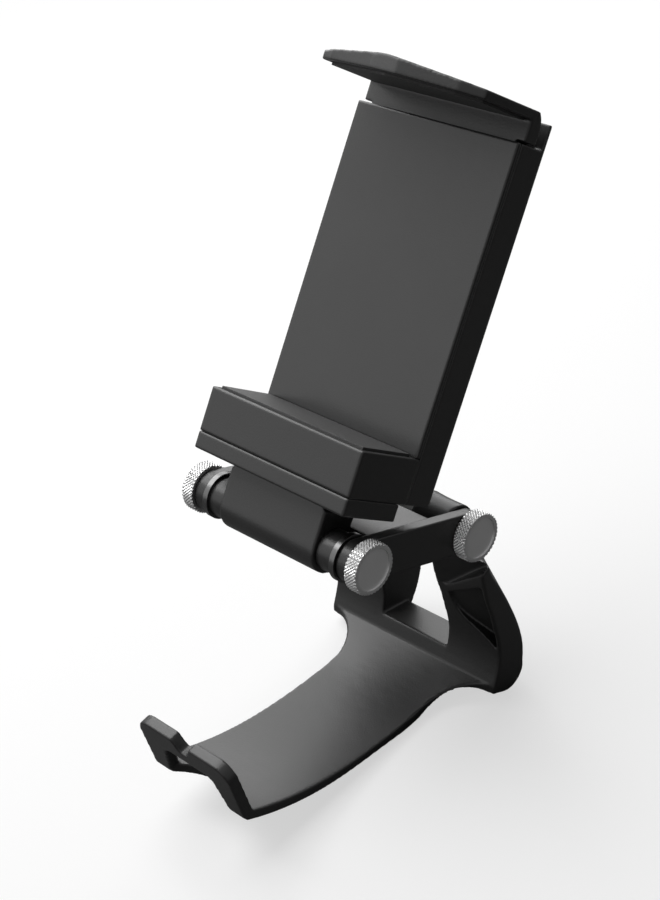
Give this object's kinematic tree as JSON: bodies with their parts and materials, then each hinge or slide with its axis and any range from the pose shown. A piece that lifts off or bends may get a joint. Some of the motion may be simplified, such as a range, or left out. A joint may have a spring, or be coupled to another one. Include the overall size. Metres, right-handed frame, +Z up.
{
  "type": "controller phone clip",
  "caption": "Phone clip for a game controller: curved cradle strip with a lipped front, two-axis hinge link with thumb knobs, and a sprung clamp that grips a phone.",
  "frame": {"origin": "centre of the bounding box's bottom face, on the surface that the cradle stands on", "axes": "+X across the controller, -Y towards the player, +Z up as it stands"},
  "size_m": [0.0472, 0.0994, 0.131],
  "materials": {
    "body_plastic": "satin charcoal black moulding",
    "plate_plastic": "satin charcoal black sheet",
    "knob_metal": "turned, grooved rim",
    "steel": "satin",
    "black_steel": "black oxide screws and rings",
    "pad_rubber": "soft grip pad"
  },
  "bodies": {
    "cradle": {"controller_cradle": "body_plastic", "lower_bush": "steel"},
    "lower_knob": {"lower_knob_rim": "knob_metal", "lower_knob_cap": "knob_metal", "lower_bolt": "steel"},
    "link": {"link_arm": "body_plastic", "lower_nut": "steel", "upper_washer_right": "steel", "upper_washer_left": "steel", "upper_spacer_right": "body_plastic", "upper_spacer_left": "body_plastic"},
    "upper_knob": {"upper_knob_rim": "knob_metal", "upper_knob_cap": "knob_metal", "upper_bolt": "steel"},
    "thumb_nut": {"upper_thumb_nut": "knob_metal", "upper_nut_cap": "knob_metal"},
    "clamp": {"clamp_shell": "body_plastic", "phone_plate": "plate_plastic", "lower_jaw": "body_plastic", "lower_jaw_pad": "pad_rubber", "hinge_block": "body_plastic", "upper_bush": "steel", "shell_screws": "black_steel", "block_screws": "black_steel", "spring_left": "steel", "spring_right": "steel"},
    "jaw": {"upper_jaw": "body_plastic", "upper_jaw_pad": "pad_rubber"}
  },
  "joints": [
    {"name": "lower_knob_turn", "type": "hinge", "parent": "link", "child": "lower_knob", "pos_m": [0, 0.01299, 0.04251], "axis": [1, 0, 0], "range_deg": [-30, 360]},
    {"name": "lower_tilt", "type": "hinge", "parent": "cradle", "child": "link", "pos_m": [0, 0.01299, 0.04251], "axis": [-1, 0, 0], "range_deg": [-20, 50]},
    {"name": "upper_knob_turn", "type": "hinge", "parent": "link", "child": "upper_knob", "pos_m": [0, -0.01462, 0.05423], "axis": [1, 0, 0], "range_deg": [-30, 360]},
    {"name": "thumb_nut_turn", "type": "hinge", "parent": "link", "child": "thumb_nut", "pos_m": [0, -0.01462, 0.05423], "axis": [-1, 0, 0], "range_deg": [-30, 360]},
    {"name": "upper_tilt", "type": "hinge", "parent": "link", "child": "clamp", "pos_m": [0, -0.01462, 0.05423], "axis": [-1, 0, 0], "range_deg": [-60, 8]},
    {"name": "jaw_slide", "type": "slide", "parent": "clamp", "child": "jaw", "axis": [0, 0.6157, 0.788], "range_m": [0, 0.02], "stiffness_N_per_m": 300, "springref_m": -0.012, "deforming": ["spring_left", "spring_right"]}
  ]
}
